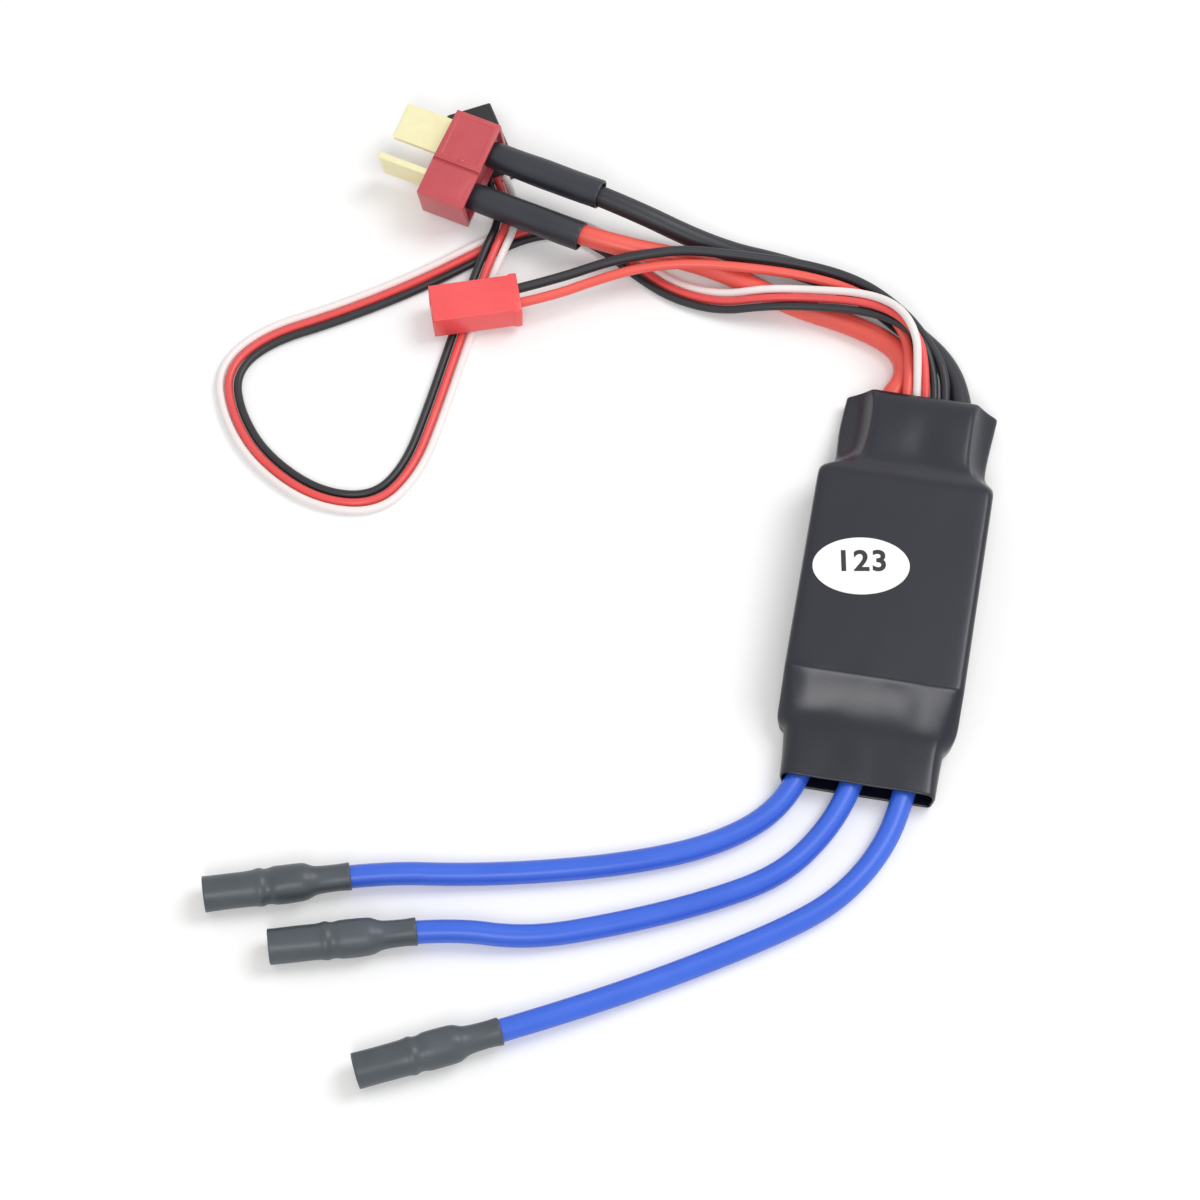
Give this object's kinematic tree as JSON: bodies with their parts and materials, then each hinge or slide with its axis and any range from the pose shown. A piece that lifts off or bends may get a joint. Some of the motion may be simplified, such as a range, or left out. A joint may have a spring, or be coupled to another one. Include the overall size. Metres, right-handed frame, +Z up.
{
  "type": "electronic speed controller",
  "caption": "Brushless motor speed controller in black heat shrink, with bullet-socket motor leads, blade battery plug, flat signal lead and supply lead",
  "frame": {"origin": "bottom centre of the shrink-wrapped body, on the surface it lies on", "axes": "+Y along the body towards the battery leads, +Z up through the labelled face, +X to the right seen from above with +Y away"},
  "size_m": [0.1253, 0.1741, 0.0121],
  "materials": {
    "blue_silicone": "satin silicone",
    "gold_plate": "bright gold plate",
    "black_shrink": "satin heat shrink",
    "jacket_shrink": "satin heat shrink",
    "black_silicone": "satin silicone",
    "red_silicone": "satin silicone",
    "white_pvc": "satin",
    "red_nylon": "moulded nylon",
    "red_housing": "moulded, semi-gloss",
    "black_housing": "moulded, satin",
    "tinned_metal": "tinned",
    "solder": "dull solder",
    "circuit_board": "solder mask",
    "sink_aluminium": "milled",
    "pad_rubber": "soft pad",
    "label_paper": "coated label",
    "chip_plastic": "moulding compound",
    "capacitor_yellow": "moulded resin",
    "ceramic_tan": "ceramic"
  },
  "bodies": {
    "root": {"battery_sleeve_black": "black_shrink", "battery_sleeve_red": "black_shrink", "battery_wire_black": "black_silicone", "battery_wire_red": "red_silicone", "board_header": "chip_plastic", "bullet_sleeve_a": "black_shrink", "bullet_sleeve_b": "black_shrink", "bullet_sleeve_c": "black_shrink", "bullet_socket_a": "gold_plate", "bullet_socket_b": "gold_plate", "bullet_socket_c": "gold_plate", "ceramic_capacitors": "ceramic_tan", "control_board": "circuit_board", "heat_shrink_jacket": "jacket_shrink", "heat_sink": "sink_aluminium", "input_capacitors": "capacitor_yellow", "microcontroller": "chip_plastic", "motor_wire_a": "blue_silicone", "motor_wire_b": "blue_silicone", "motor_wire_c": "blue_silicone", "phase_mosfets": "chip_plastic", "power_board": "circuit_board", "power_solder_joints": "solder", "rating_label": "label_paper", "signal_plug_housing": "black_housing", "signal_plug_terminals": "tinned_metal", "signal_solder_joints": "solder", "signal_strand_black": "black_silicone", "signal_strand_red": "red_silicone", "signal_strand_white": "white_pvc", "supply_plug_housing": "red_housing", "supply_plug_terminals": "tinned_metal", "supply_wire_black": "black_silicone", "supply_wire_red": "red_silicone", "tee_plug_blade_flat": "gold_plate", "tee_plug_blade_upright": "gold_plate", "tee_plug_housing": "red_nylon", "thermal_pad": "pad_rubber", "voltage_regulators": "chip_plastic"}
  },
  "joints": []
}
